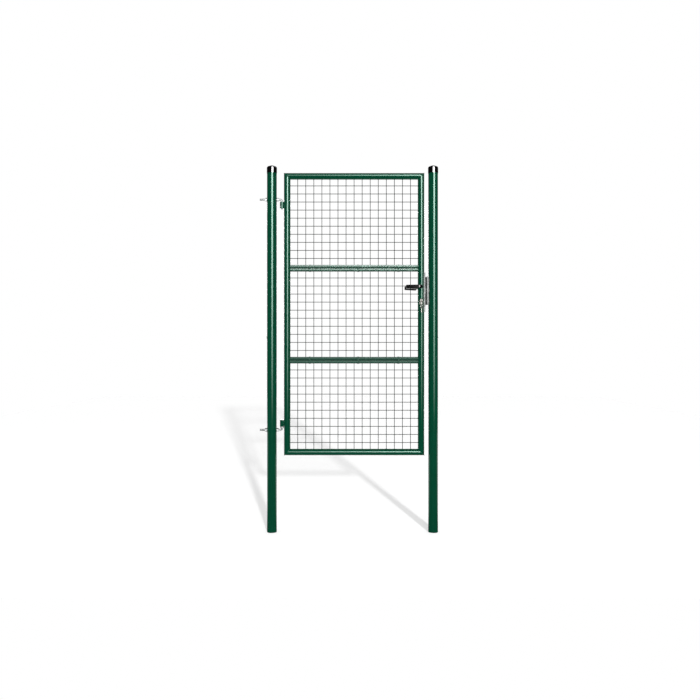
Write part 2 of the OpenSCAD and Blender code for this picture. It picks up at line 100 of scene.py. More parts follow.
def smooth_step(tree, value, low, high):
    """Returns a value that runs smoothly from 0 at low to 1 at high."""
    made = add_node(tree, "ShaderNodeMapRange", ("Value", value), interpolation_type="SMOOTHSTEP")
    made.inputs["From Min"].default_value = low
    made.inputs["From Max"].default_value = high
    return made.outputs["Result"]


def mix_colours(tree, factor, first, second, blend="MIX"):
    """Returns the mix of two colours, each a socket or four numbers."""
    made = tree.nodes.new("ShaderNodeMix")
    made.data_type = "RGBA"
    made.blend_type = blend
    for index, value in ((0, factor), (6, first), (7, second)):
        if isinstance(value, bpy.types.NodeSocket):
            tree.links.new(value, made.inputs[index])
        else:
            made.inputs[index].default_value = value
    return made.outputs[2]


def new_group(name, inputs, outputs):
    """Makes a shader node group. inputs and outputs are (name, socket type) pairs."""
    tree = bpy.data.node_groups.new(name, "ShaderNodeTree")
    for socket, kind in inputs:
        tree.interface.new_socket(socket, in_out="INPUT", socket_type="NodeSocket" + kind)
    for socket, kind in outputs:
        tree.interface.new_socket(socket, in_out="OUTPUT", socket_type="NodeSocket" + kind)
    return tree, tree.nodes.new("NodeGroupInput").outputs, tree.nodes.new("NodeGroupOutput").inputs


def new_material(name):
    """Makes a material and returns it with its node tree and its Principled shader."""
    made = bpy.data.materials.new(name)
    made.use_nodes = True
    return made, made.node_tree, made.node_tree.nodes["Principled BSDF"]


def place_group(tree, group, **values):
    """Places a node group in a material, with its own values."""
    made = tree.nodes.new("ShaderNodeGroup")
    made.node_tree = group
    for name, value in values.items():
        made.inputs[name.replace("_", " ")].default_value = value
    return made.outputs


def bump_into(tree, shader, height, distance):
    """Feeds a height, 0 to 1, into a shader's normal as a relief that is distance metres deep."""
    made = add_node(tree, "ShaderNodeBump", ("Height", height), Strength=1.0, Distance=distance)
    tree.links.new(made.outputs["Normal"], shader.inputs["Normal"])


def finish_nodes(material, *names):
    """Gives a material to carried-over pieces."""
    for name in names:
        nodes[name].data.materials.clear()
        nodes[name].data.materials.append(material)


# Powder film: the fine orange peel of a baked powder coat, its slow change of depth along a
# piece, and the dust that settles on it.
deep_tint = (0.86, 0.9, 0.88, 1.0)
dust_colour = (0.36, 0.35, 0.3, 1.0)
dust_on_uprights = 0.12
dust_roughness = 0.5
speck_roughness = 0.06
powder_film, film_in, film_out = new_group(
    "powder film",
    [("Colour", "Color"), ("Roughness", "Float"), ("Dust", "Float")],
    [("Colour", "Color"), ("Roughness", "Float"), ("Height", "Float")],
)
place = powder_film.nodes.new("ShaderNodeTexCoord").outputs["Object"]
slow = noise(powder_film, place, scale=5.0, detail=3.0)
peel = noise(powder_film, place, scale=330.0, detail=1.5)
specks = noise(powder_film, place, scale=90.0, detail=6.0, roughness=0.7)
thinner = smooth_step(powder_film, slow, low=0.3, high=0.7)
deep = mix_colours(powder_film, 1.0, film_in["Colour"], deep_tint, "MULTIPLY")
coat_colour = mix_colours(powder_film, thinner, deep, film_in["Colour"])
facing = powder_film.nodes.new("ShaderNodeNewGeometry").outputs["Normal"]
upward = add_node(powder_film, "ShaderNodeSeparateXYZ", ("Vector", facing)).outputs["Z"]
settled = smooth_step(powder_film, upward, low=0.2, high=1.0)
speckled = smooth_step(powder_film, specks, low=0.4, high=0.75)
dusty = math_node(powder_film, "MULTIPLY", speckled, film_in["Dust"])
settled = math_node(powder_film, "ADD", settled, dust_on_uprights)
dusty = math_node(powder_film, "MULTIPLY", dusty, settled)
powder_film.links.new(mix_colours(powder_film, dusty, coat_colour, dust_colour), film_out["Colour"])
dulled = math_node(powder_film, "MULTIPLY", dusty, dust_roughness)
rougher = math_node(powder_film, "ADD", film_in["Roughness"], dulled)
speckle = off_middle(powder_film, specks, speck_roughness)
rougher = math_node(powder_film, "ADD", rougher, speckle, clamp=True)
powder_film.links.new(rougher, film_out["Roughness"])
powder_film.links.new(peel, film_out["Height"])


def coat_material(name, colour, roughness, dust, peel_depth, specular=0.5, tint=(0.68, 1.0, 0.87)):
    """A powder coat of one colour."""
    material, tree, shader = new_material(name)
    film = place_group(tree, powder_film, Colour=(*colour, 1.0), Roughness=roughness, Dust=dust)
    tree.links.new(film["Colour"], shader.inputs["Base Color"])
    tree.links.new(film["Roughness"], shader.inputs["Roughness"])
    shader.inputs["Specular IOR Level"].default_value = specular
    shader.inputs["Specular Tint"].default_value = (*tint, 1.0)
    bump_into(tree, shader, film["Height"], peel_depth)
    return material


green_coat = coat_material(
    "moss green coat", colour=(0.0008, 0.064, 0.031), roughness=0.1, dust=0.05, peel_depth=0.0015 * MM
)
finish_nodes(green_coat, "hinge_post", "latch_post")


# ---- Post caps ----
# Push-on caps of black moulded plastic that close the tops of the posts.
# Their skirts grip the outside of the tube.
smear_roughness = 0.12
moulded_skin, skin_in, skin_out = new_group(
    "moulded skin",
    [("Roughness", "Float")],
    [("Roughness", "Float"), ("Height", "Float")],
)
place = moulded_skin.nodes.new("ShaderNodeTexCoord").outputs["Object"]
grain = noise(moulded_skin, place, scale=1400.0, detail=2.0)
smear = noise(moulded_skin, place, scale=35.0, detail=4.0)
smeared = off_middle(moulded_skin, smear, smear_roughness)
smeared = math_node(moulded_skin, "ADD", skin_in["Roughness"], smeared, clamp=True)
moulded_skin.links.new(smeared, skin_out["Roughness"])
moulded_skin.links.new(grain, skin_out["Height"])


def plastic_material(name, colour, roughness, specular, grain_depth):
    """A black moulded plastic."""
    material, tree, shader = new_material(name)
    skin = place_group(tree, moulded_skin, Roughness=roughness)
    shader.inputs["Base Color"].default_value = (*colour, 1.0)
    shader.inputs["Specular IOR Level"].default_value = specular
    tree.links.new(skin["Roughness"], shader.inputs["Roughness"])
    bump_into(tree, shader, skin["Height"], grain_depth)
    return material


cap_plastic = plastic_material(
    "black cap plastic",
    colour=(0.0002, 0.0002, 0.00025),
    roughness=0.14,
    specular=0.7,
    grain_depth=0.004 * MM,
)
finish_nodes(cap_plastic, "hinge_post_cap", "latch_post_cap")


# ---- Hinge bolts, nuts and washers ----
# Bent 12 mm bolts of bright zinc-plated steel. Each goes through its post with a nut and a
# washer on both sides, which set the leaf's place.
crystal_share = 0.45
dark_roughness = 0.16
zinc_skin, zinc_in, zinc_out = new_group(
    "zinc skin",
    [("Light", "Color"), ("Dark", "Color"), ("Roughness", "Float"), ("Crystal Size", "Float")],
    [("Colour", "Color"), ("Roughness", "Float"), ("Height", "Float")],
)
place = zinc_skin.nodes.new("ShaderNodeTexCoord").outputs["Object"]
finer = math_node(zinc_skin, "DIVIDE", 1.0, zinc_in["Crystal Size"])
crystals = add_node(zinc_skin, "ShaderNodeTexVoronoi", ("Vector", place), ("Scale", finer), Randomness=1.0)
tone = add_node(zinc_skin, "ShaderNodeSeparateColor", ("Color", crystals.outputs["Color"])).outputs["Red"]
cloud = noise(zinc_skin, place, scale=140.0, detail=5.0)
shade = math_node(zinc_skin, "ADD", math_node(zinc_skin, "MULTIPLY", tone, crystal_share), cloud)
shade = smooth_step(zinc_skin, shade, low=0.35, high=1.05)
zinc_skin.links.new(mix_colours(zinc_skin, shade, zinc_in["Dark"], zinc_in["Light"]), zinc_out["Colour"])
duller = off_middle(zinc_skin, shade, -dark_roughness)
duller = math_node(zinc_skin, "ADD", zinc_in["Roughness"], duller, clamp=True)
zinc_skin.links.new(duller, zinc_out["Roughness"])
zinc_skin.links.new(cloud, zinc_out["Height"])


def plated_material(name, light, dark, roughness, crystal_size, relief):
    """A plated metal with its crystals and clouding."""
    material, tree, shader = new_material(name)
    skin = place_group(
        tree,
        zinc_skin,
        Light=(*light, 1.0),
        Dark=(*dark, 1.0),
        Roughness=roughness,
        Crystal_Size=crystal_size,
    )
    tree.links.new(skin["Colour"], shader.inputs["Base Color"])
    tree.links.new(skin["Roughness"], shader.inputs["Roughness"])
    shader.inputs["Metallic"].default_value = 1.0
    bump_into(tree, shader, skin["Height"], relief)
    return material


bright_zinc = plated_material(
    "bright zinc",
    light=(0.86, 0.88, 0.88),
    dark=(0.62, 0.65, 0.64),
    roughness=0.34,
    crystal_size=2 * MM,
    relief=0.02 * MM,
)
finish_nodes(bright_zinc, "upper_hinge_bolt", "lower_hinge_bolt", "hinge_nuts", "hinge_washers")


def add_piece(name, form, body, material, sharp=40):
    """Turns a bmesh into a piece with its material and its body.
    Edges that bend by more than sharp degrees stay crisp."""
    bmesh.ops.recalc_face_normals(form, faces=form.faces)
    mesh = bpy.data.meshes.new(name)
    form.to_mesh(mesh)
    form.free()
    mesh.materials.append(material)
    mesh.shade_smooth()
    mesh.set_sharp_from_angle(angle=math.radians(sharp))
    piece = bpy.data.objects.new(name, mesh)
    bpy.context.scene.collection.objects.link(piece)
    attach(piece, body)


def wind_thread(form, start, end, radius, pitch, sides=24):
    """Winds the ridge of a rolled thread round a rod. The ridge runs out at both ends."""
    along = (end - start).normalized()
    side = along.orthogonal().normalized()
    up = along.cross(side)
    steps = round((end - start).length / pitch * sides)
    # The ridge's section in pitches, as places along the rod and out from its surface.
    section = ((-0.44, -0.3), (-0.07, 0.3), (0.07, 0.3), (0.44, -0.3))
    corners = len(section)
    rows = []
    for step in range(steps + 1):
        angle = math.tau * step / sides
        out = side * math.cos(angle) + up * math.sin(angle)
        place = start + along * (pitch * step / sides)
        run_out = min(1.0, step / sides, (steps - step) / sides)
        row = []
        for shift, rise in section:
            shifted = place + along * (pitch * shift * run_out)
            row.append(form.verts.new(shifted + out * (radius + pitch * rise * run_out)))
        rows.append(row)
    for first, second in zip(rows, rows[1:]):
        for low in range(corners):
            high = (low + 1) % corners
            form.faces.new((first[low], first[high], second[high], second[low]))


rod_r = 6 * MM
rod_pitch = 1.75 * MM
rod_tip = 2 * MM
past_nuts = 5 * MM
hinge_form = bmesh.new()
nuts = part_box("hinge_nuts")
for name in ("upper_hinge_bolt", "lower_hinge_bolt"):
    low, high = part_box(name)
    # The rod through the post is the top of the upper bolt and the foot of the lower one.
    rod_z = high.z - rod_r if name == "upper_hinge_bolt" else low.z + rod_r
    for start, end in ((low.x + rod_tip, nuts[0].x), (nuts[1].x, nuts[1].x + past_nuts)):
        wind_thread(hinge_form, Vector((start, 0, rod_z)), Vector((end, 0, rod_z)), rod_r, rod_pitch)
add_piece("hinge_bolt_threads", hinge_form, "posts", bright_zinc)


# ---- Strike, its stop and the wire lugs ----
# Bent 3 mm sheet with slots for the lock's tongue and bolt, galvanised and stitch welded to
# the latch post. A near-black strip on its rear stop is painted shade for the recess behind the
# lock. Both posts carry a small welded wire lug.
galvanised = plated_material(
    "galvanised sheet",
    light=(0.74, 0.76, 0.75),
    dark=(0.42, 0.44, 0.43),
    roughness=0.38,
    crystal_size=6 * MM,
    relief=0.05 * MM,
)
finish_nodes(galvanised, "strike", "wire_lugs")


def lay_weld(form, path, width, closed=False, sides=8):
    """Lays a rippled weld bead along a path. An open one starts and ends in a taper."""
    ripple_rings = 4
    # Shares of the bead's width.
    ripple_length = 0.45
    ripple_depth = 0.16
    tip_size = 0.45
    taper_step = 0.275
    points = path + path[:1] if closed else path
    marks = [0.0]
    for first, second in zip(points, points[1:]):
        marks.append(marks[-1] + (second - first).length)
    ripples = max(2, round(marks[-1] / (width * ripple_length)))
    count = ripples * ripple_rings
    rings = []
    side = None
    leg = 0
    for step in range(count if closed else count + 1):
        reach = marks[-1] * step / count
        while leg < len(marks) - 2 and marks[leg + 1] < reach:
            leg += 1
        along = points[leg + 1] - points[leg]
        centre = points[leg] + along * ((reach - marks[leg]) / along.length)
        along.normalize()
        if side is None:
            side = along.orthogonal().normalized()
        side = (side - along * side.dot(along)).normalized()
        up = along.cross(side)
        taper = 1.0 if closed else min(1.0, tip_size + taper_step * min(step, count - step))
        ripple = 1 - ripple_depth + ripple_depth * abs(math.cos(math.pi * step / ripple_rings))
        radius = width / 2 * taper * ripple
        rings.append([
            form.verts.new(centre + (side * math.cos(angle) + up * math.sin(angle)) * radius)
            for angle in (math.tau * turn / sides for turn in range(sides))
        ])
    following = rings[1:] + rings[:1] if closed else rings[1:]
    for first, second in zip(rings, following):
        for low in range(sides):
            high = (low + 1) % sides
            form.faces.new((first[low], first[high], second[high], second[low]))
    if not closed:
        form.faces.new(reversed(rings[0]))
        form.faces.new(rings[-1])


def upright_line(x, y, low, high):
    """Returns the two ends of an upright line."""
    return [Vector((x, y, low)), Vector((x, y, high))]


strike_weld = 3.4 * MM
stitch = 24 * MM
# The stitches' places, as shares of the strike's height.
stitch_places = (0.06, 0.5, 0.94)
lug_weld = 2.4 * MM
lug_corner = 1 * MM
weld_off = 0.4 * MM
latch_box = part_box("latch_post")
post_x = (latch_box[0].x + latch_box[1].x) / 2
post_r = (latch_box[1].x - latch_box[0].x) / 2
low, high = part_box("strike")
weld_form = bmesh.new()
for y in (low.y, high.y):
    x = post_x - math.sqrt(post_r ** 2 - y ** 2) - weld_off
    for share in stitch_places:
        middle = low.z + (high.z - low.z) * share + (0.5 - share) * stitch
        lay_weld(weld_form, upright_line(x, y, middle - stitch / 2, middle + stitch / 2), strike_weld)
low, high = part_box("wire_lugs")
for x in (-post_r - weld_off, post_x + post_r + weld_off):
    for y in (low.y, high.y):
        lay_weld(weld_form, upright_line(x, y, low.z + lug_corner, high.z - lug_corner), lug_weld)
add_piece("strike_and_lug_welds", weld_form, "posts", galvanised, sharp=80)

# The strip's near-black colour is painted shade for the recess between the lock and the strike.
stop_shade_strip = plastic_material(
    "stop shade strip", colour=(0.012, 0.012, 0.012), roughness=0.6, specular=0.4, grain_depth=0.02 * MM
)
finish_nodes(stop_shade_strip, "stop_lining")


# ---- Leaf frame ----
# Four round tubes mitred at the corners, welded together and coated in the posts' green.
# The hinge sleeves are welded to one stile and the lock sits in the other.
finish_nodes(green_coat, "hinge_stile", "lock_stile", "top_rail", "bottom_rail")
finish_nodes(green_coat, "upper_hinge_sleeve", "lower_hinge_sleeve")

mitre_weld = 4.2 * MM
mitre_steps = 72
seam_depth = 0.8 * MM
sleeve_weld = 5.6 * MM
sleeve_weld_off = sleeve_weld * 0.35
sleeve_end = 3 * MM
tubes = {name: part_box(name) for name in ("hinge_stile", "lock_stile", "top_rail", "bottom_rail")}
tube_r = (tubes["hinge_stile"][1].x - tubes["hinge_stile"][0].x) / 2
hinge_x = tubes["hinge_stile"][0].x + tube_r
lock_x = tubes["lock_stile"][0].x + tube_r
top_z = tubes["top_rail"][0].z + tube_r
bottom_z = tubes["bottom_rail"][0].z + tube_r
seam_r = tube_r - seam_depth
weld_form = bmesh.new()
for x, z, outward_x, outward_z in (
    (hinge_x, top_z, -1, 1),
    (lock_x, top_z, 1, 1),
    (hinge_x, bottom_z, -1, -1),
    (lock_x, bottom_z, 1, -1),
):
    mitre = []
    for step in range(mitre_steps):
        angle = math.tau * step / mitre_steps
        out = seam_r * math.cos(angle)
        mitre.append(Vector((x + outward_x * out, seam_r * math.sin(angle), z + outward_z * out)))
    lay_weld(weld_form, mitre, mitre_weld, closed=True)
for name in ("upper_hinge_sleeve", "lower_hinge_sleeve"):
    # The bead fills the groove between the two tubes, where circles about both of them meet.
    low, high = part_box(name)
    sleeve_x = (low.x + high.x) / 2
    sleeve_reach = (high.x - low.x) / 2 + sleeve_weld_off
    tube_reach = tube_r + sleeve_weld_off
    apart = hinge_x - sleeve_x
    x = (sleeve_reach ** 2 - tube_reach ** 2 + apart ** 2) / (2 * apart)
    y = math.sqrt(sleeve_reach ** 2 - x ** 2)
    for sign in (-1, 1):
        line = upright_line(sleeve_x + x, sign * y, low.z + sleeve_end, high.z - sleeve_end)
        lay_weld(weld_form, line, sleeve_weld, sides=12)
add_piece("frame_welds", weld_form, "leaf", green_coat, sharp=80)


# ---- Mesh ----
# Welded panels of zinc-coated wire with a thin green coat. The wires cross at every 50 mm,
# level wires in front and upright wires behind.
mesh_coat = coat_material(
    "thin wire coat",
    colour=(0.004, 0.012, 0.008),
    roughness=0.3,
    dust=0.1,
    peel_depth=0.006 * MM,
    specular=0.3,
)
finish_nodes(mesh_coat, "lower_mesh", "middle_mesh", "upper_mesh")


def middles(name, axis, gap, keep=None):
    """Returns the middles of a node's groups of points along an axis, which gaps part."""
    points = (vertex.co for vertex in nodes[name].data.vertices)
    values = sorted(point[axis] for point in points if keep is None or keep(point))
    groups = [[values[0], values[0]]]
    for value in values:
        if value - groups[-1][1] > gap:
            groups.append([value, value])
        groups[-1][1] = value
    return [(first + last) / 2 for first, last in groups]


def add_blob(form, centre, radii, chance, lean=0.3, spread=0.1):
    """Adds a lump of weld, pressed flat along its axes and a little uneven. It leans by up to lean
    radians, and its radii differ by up to the share spread."""
    turn = Matrix.Rotation(chance.uniform(-lean, lean), 4, chance.choice("XYZ"))
    size = Matrix.Diagonal((*(radius * chance.uniform(1 - spread, 1 + spread) for radius in radii), 1.0))
    place = Matrix.Translation(centre) @ size @ turn
    bmesh.ops.create_icosphere(form, subdivisions=2, radius=1.0, matrix=place)


wire_y = 1.7 * MM
wires_apart = 8 * MM
panel_edge = 1 * MM
# The weld lumps' radii along X, Y and Z.
crossing_lump = (3.1 * MM, 1.7 * MM, 3.1 * MM)
level_end_lump = (1.8 * MM, 2.7 * MM, 2.7 * MM)
upright_end_lump = (2.7 * MM, 2.7 * MM, 1.8 * MM)
chance = random.Random(11)
crossings = bmesh.new()
wire_ends = bmesh.new()
for name in ("lower_mesh", "middle_mesh", "upper_mesh"):
    low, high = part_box(name)
    levels = middles(name, 2, wires_apart, lambda point: point.x < low.x + panel_edge)
    uprights = middles(name, 0, wires_apart, lambda point: point.z < low.z + panel_edge)
    for z in levels:
        for x in uprights:
            add_blob(crossings, Vector((x, 0, z)), crossing_lump, chance)
        for x in (low.x, high.x):
            add_blob(wire_ends, Vector((x, -wire_y, z)), level_end_lump, chance)
    # Upright wires are welded to a rail at the leaf's foot and head. Clamps hold their other ends.
    rail_ends = {"lower_mesh": [low.z], "middle_mesh": [], "upper_mesh": [high.z]}
    for z in rail_ends[name]:
        for x in uprights:
            add_blob(wire_ends, Vector((x, wire_y, z)), upright_end_lump, chance)
add_piece("wire_crossing_welds", crossings, "leaf", mesh_coat, sharp=80)
add_piece("wire_end_welds", wire_ends, "leaf", mesh_coat, sharp=80)


# ---- Clamp rails ----
# Pressed strips in pairs, one in front of the mesh and one behind, with two beads along each.
# They hold the mesh panels' edges between them, and bolts draw them together on flat spacer
# discs. Their ends are welded to the stiles.
clamp_coat = coat_material(
    "pale clamp coat",
    colour=(0.018, 0.095, 0.06),
    roughness=0.6,
    dust=0.2,
    peel_depth=0.006 * MM,
    tint=(1.0, 1.0, 1.0),
)
clamp_strips = ["lower_clamp_front", "lower_clamp_back", "upper_clamp_front", "upper_clamp_back"]
finish_nodes(clamp_coat, *clamp_strips)
finish_nodes(clamp_coat, "clamp_discs", "clamp_bolts")

bead_offset = 10.5 * MM
bead_half = 9 * MM
bead_h = 8 * MM
bead_r = bead_half ** 2 / (2 * bead_h) + bead_h / 2
strip_sheet = 1.5 * MM
strip_edge = 1 * MM
outline_steps = 52
clamp_weld = 2.4 * MM
clamp_weld_off = 0.3 * MM
weld_form = bmesh.new()
for name in clamp_strips:
    low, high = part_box(name)
    side = -1 if name.endswith("front") else 1
    face = -high.y if side < 0 else low.y
    rail_z = (low.z + high.z) / 2
    outline = []
    for step in range(outline_steps + 1):
        z = low.z + strip_edge + (high.z - low.z - 2 * strip_edge) * step / outline_steps
        across = abs(abs(z - rail_z) - bead_offset)
        swell = math.sqrt(max(0.0, bead_r ** 2 - across ** 2)) + bead_h - bead_r
        outline.append((face + strip_sheet + max(0.0, swell), z))
    for stile_x, sign in ((hinge_x, 1), (lock_x, -1)):
        path = []
        for y, z in outline:
            x = stile_x + sign * math.sqrt((tube_r + clamp_weld_off) ** 2 - y ** 2)
            path.append(Vector((x, side * y, z)))
        lay_weld(weld_form, path, clamp_weld)
add_piece("clamp_rail_welds", weld_form, "leaf", clamp_coat, sharp=80)

bolt_r = 3 * MM
bolt_pitch = 1 * MM
bolt_tip = 0.4 * MM
bolt_thread = 4.6 * MM
bolts_apart = 20 * MM
bolt_form = bmesh.new()
bolt_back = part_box("clamp_bolts")[1].y
for x in middles("clamp_bolts", 0, bolts_apart):
    for z in middles("clamp_bolts", 2, bolts_apart):
        tip = Vector((x, bolt_back - bolt_tip, z))
        wind_thread(bolt_form, tip - Vector((0, bolt_thread, 0)), tip, bolt_r, bolt_pitch, sides=20)
add_piece("clamp_bolt_threads", bolt_form, "leaf", clamp_coat)


# ---- Lock ----
# A mortice lock in the stile: a galvanised steel case with its forend, held by two screws, a
# profile cylinder of nickel-plated brass, held by one, a key in it, and a ring with the spare.
nickel = plated_material(
    "nickel plate",
    light=(0.82, 0.8, 0.76),
    dark=(0.62, 0.6, 0.56),
    roughness=0.36,
    crystal_size=1.5 * MM,
    relief=0.01 * MM,
)
finish_nodes(galvanised, "lock_case", "latch_tongue")
finish_nodes(nickel, "lock_cylinder", "key", "key_ring", "spare_key")


def in_cross(across, up, radius, slot=0.16, reach=0.62):
    """Says whether a point of a screw's head lies in its cross recess.
    slot and reach are its arms' half width and length, as shares of the radius."""
    narrow, wide = sorted((abs(across), abs(up)))
    return narrow < radius * slot and wide < radius * reach


def in_hexagon(across, up, radius, half_width=0.5):
    """Says whether a point of a screw's face lies in its hexagon socket.
    half_width is from the middle to a flat, as a share of the radius."""
    flats = (up, up / 2 + across * math.sqrt(3) / 2, up / 2 - across * math.sqrt(3) / 2)
    return max(abs(flat) for flat in flats) < radius * half_width


def add_screw(form, centre, out, radius, dome, depth, recess):
    """Adds the face of a screw: a low dome with a recess, and an edge that sinks into what it holds."""
    side = out.orthogonal().normalized()
    up = out.cross(side)
    sectors = 72
    steps = 18
    rings = []
    for step in range(steps + 1):
        share = step / steps
        ring = []
        for sector in range(sectors):
            angle = math.tau * sector / sectors
            across = radius * share * math.cos(angle)
            rise = radius * share * math.sin(angle)
            height = dome * (1 - share ** 2)
            if recess(across, rise, radius):
                height = -depth
            ring.append(form.verts.new(centre + side * across + up * rise + out * height))
            if step == 0:
                break
        rings.append(ring)
    rings.append([form.verts.new(vertex.co - out * 2 * depth) for vertex in rings[-1]])
    for sector in range(sectors):
        following = (sector + 1) % sectors
        form.faces.new((rings[0][0], rings[1][sector], rings[1][following]))
        for first, second in zip(rings[1:], rings[2:]):
            form.faces.new((first[sector], second[sector], second[following], first[following]))
    form.faces.new(reversed(rings[-1]))


forend_screw_r = 4.2 * MM
forend_screw_in = 14 * MM
cylinder_screw_r = 3.6 * MM
cylinder_screw_up = 7 * MM
screw_dome = 0.35 * MM
cross_depth = 0.7 * MM
screw_form = bmesh.new()
case_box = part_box("lock_case")
cylinder_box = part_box("lock_cylinder")
for z, radius in (
    (case_box[0].z + forend_screw_in, forend_screw_r),
    (case_box[1].z - forend_screw_in, forend_screw_r),
    (cylinder_box[0].z + cylinder_screw_up, cylinder_screw_r),
):
    place = Vector((case_box[1].x, 0, z))
    add_screw(screw_form, place, Vector((1, 0, 0)), radius, screw_dome, cross_depth, in_cross)
add_piece("forend_screws", screw_form, "leaf", bright_zinc, sharp=30)


# ---- Levers ----
# A pair of lever handles of glossy black nylon on one square galvanised spindle. A steel
# socket screw in the underside of each neck holds it to the spindle.
lever_nylon = plastic_material(
    "black lever nylon",
    colour=(0.0012, 0.0012, 0.0014),
    roughness=0.12,
    specular=0.6,
    grain_depth=0.0015 * MM,
)
finish_nodes(lever_nylon, "front_lever", "back_lever")
finish_nodes(galvanised, "spindle")

black_steel = plated_material(
    "blackened steel",
    light=(0.05, 0.05, 0.052),
    dark=(0.025, 0.025, 0.027),
    roughness=0.42,
    crystal_size=1 * MM,
    relief=0.01 * MM,
)
neck_h = 18.5 * MM
lever_screw_y = 30 * MM
lever_screw_r = 2.5 * MM
lever_screw_dome = 0.15 * MM
socket_depth = 0.8 * MM
screw_form = bmesh.new()
spindle_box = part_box("spindle")
neck_under = (spindle_box[0].z + spindle_box[1].z) / 2 - neck_h / 2
for y in (-lever_screw_y, lever_screw_y):
    place = Vector((lock_x, y, neck_under))
    down = Vector((0, 0, -1))
    add_screw(screw_form, place, down, lever_screw_r, lever_screw_dome, socket_depth, in_hexagon)
add_piece("lever_screws", screw_form, "handle", black_steel, sharp=30)


# ---- Floor and backdrop ----
# A plain white floor that keeps a faint shadow, and a white surround. A backdrop of the same
# white stands behind the gate, where metal shows it; the studio on its other side is dim.
def floor_sheet(low, high, corner_r):
    """A flat sheet with round corners, from one corner to the other."""
    mesh = bpy.data.meshes.new("floor")
    form = bmesh.new()
    corner_steps = 8
    rim = []
    for corner, (sign_x, sign_y) in enumerate(((1, 1), (-1, 1), (-1, -1), (1, -1))):
        x = (high.x if sign_x > 0 else low.x) - sign_x * corner_r
        y = (high.y if sign_y > 0 else low.y) - sign_y * corner_r
        for step in range(corner_steps + 1):
            angle = math.radians(90 * corner + 90 * step / corner_steps)
            reach = Vector((math.cos(angle), math.sin(angle), 0)) * corner_r
            rim.append(form.verts.new(Vector((x, y, low.z)) + reach))
    form.faces.new(rim)
    form.to_mesh(mesh)
    form.free()
    made = bpy.data.objects.new("floor", mesh)
    bpy.context.scene.collection.objects.link(made)
    return made


# The floor's extent, in metres from the gate's middle and from its plane.
floor_half = 6.0
floor_front = -1.2
floor_back = 13.0
floor_z = -0.5 * MM
floor_corner_r = 0.3
middle_x = (cad_box[0].x + cad_box[1].x) / 2
floor = floor_sheet(
    Vector((middle_x - floor_half, floor_front, floor_z)),
    Vector((middle_x + floor_half, floor_back, floor_z)),
    floor_corner_r,
)

# What the camera sees is half the lamps' light and a glow of its own, which come to white.
# Metal sees that white only behind the gate, and everything else sees a dull sheet.
floor_tone = (0.5, 0.5, 0.5, 1.0)
floor_glow = 0.375
dull_tone = (0.6, 0.6, 0.6, 1.0)
mirrored_tone = (0.03, 0.03, 0.03, 1.0)
paper, tree, shader = new_material("white paper")
rays = tree.nodes.new("ShaderNodeLightPath").outputs
shader.inputs["Roughness"].default_value = 1.0
shader.inputs["Specular IOR Level"].default_value = 0.0
paper_colour = mix_colours(tree, rays["Is Glossy Ray"], dull_tone, mirrored_tone)
tree.links.new(paper_colour, shader.inputs["Base Color"])
pale = add_node(tree, "ShaderNodeBsdfDiffuse", Color=floor_tone)
glow = add_node(tree, "ShaderNodeEmission", Strength=floor_glow)
glowing = tree.nodes.new("ShaderNodeAddShader")
tree.links.new(pale.outputs[0], glowing.inputs[0])
tree.links.new(glow.outputs[0], glowing.inputs[1])
place = tree.nodes.new("ShaderNodeNewGeometry").outputs["Position"]
depth = add_node(tree, "ShaderNodeSeparateXYZ", ("Vector", place)).outputs["Y"]
behind = smooth_step(tree, depth, low=0.05, high=0.5)
mirrored = math_node(tree, "MULTIPLY", rays["Is Glossy Ray"], behind)
seen = math_node(tree, "MAXIMUM", rays["Is Camera Ray"], mirrored)
seen = math_node(tree, "MAXIMUM", seen, rays["Is Transmission Ray"])
chosen = tree.nodes.new("ShaderNodeMixShader")
tree.links.new(seen, chosen.inputs[0])
tree.links.new(shader.outputs[0], chosen.inputs[1])
tree.links.new(glowing.outputs[0], chosen.inputs[2])
tree.links.new(chosen.outputs[0], tree.nodes["Material Output"].inputs["Surface"])
floor.data.materials.append(paper)

studio_light = 0.75
mirrored_loss = 0.72
white = (1.0, 1.0, 1.0, 1.0)
world = bpy.data.worlds.new("white surround")
bpy.context.scene.world = world
world.use_nodes = True
tree = world.node_tree
rays = tree.nodes.new("ShaderNodeLightPath").outputs
toward = tree.nodes.new("ShaderNodeTexCoord").outputs["Generated"]
behind = add_node(tree, "ShaderNodeSeparateXYZ", ("Vector", toward)).outputs["Y"]
behind = smooth_step(tree, behind, low=0.9, high=0.98)
mirrored = math_node(tree, "MAXIMUM", rays["Is Glossy Ray"], rays["Is Transmission Ray"])
shown = math_node(tree, "MAXIMUM", rays["Is Camera Ray"], math_node(tree, "MULTIPLY", mirrored, behind))
dim = math_node(tree, "SUBTRACT", studio_light, math_node(tree, "MULTIPLY", mirrored, mirrored_loss))
backdrop = add_node(tree, "ShaderNodeBackground", Strength=1.0)
backdrop.inputs["Color"].default_value = white
studio = add_node(tree, "ShaderNodeBackground", ("Strength", dim))
studio.inputs["Color"].default_value = white
chosen = tree.nodes.new("ShaderNodeMixShader")
tree.links.new(shown, chosen.inputs[0])
tree.links.new(studio.outputs[0], chosen.inputs[1])
tree.links.new(backdrop.outputs[0], chosen.inputs[2])
tree.links.new(chosen.outputs[0], tree.nodes["World Output"].inputs["Surface"])


# ---- Lamps ----
# Soft boxes, each for its own pieces: a tall one in front of and behind each side's tubes, one
# for each kind of rail, and pale cards for the levers and the metal. A wide key lamp lights
# the whole scene, and a low lamp for the floor alone casts the gate's shadow.
def light_only(lamp, pieces):
    """Keeps a lamp's light to some pieces."""
    lit = bpy.data.collections.new(lamp.name + " pieces")
    for piece in pieces:
        lit.objects.link(piece)
    lamp.light_linking.receiver_collection = lit


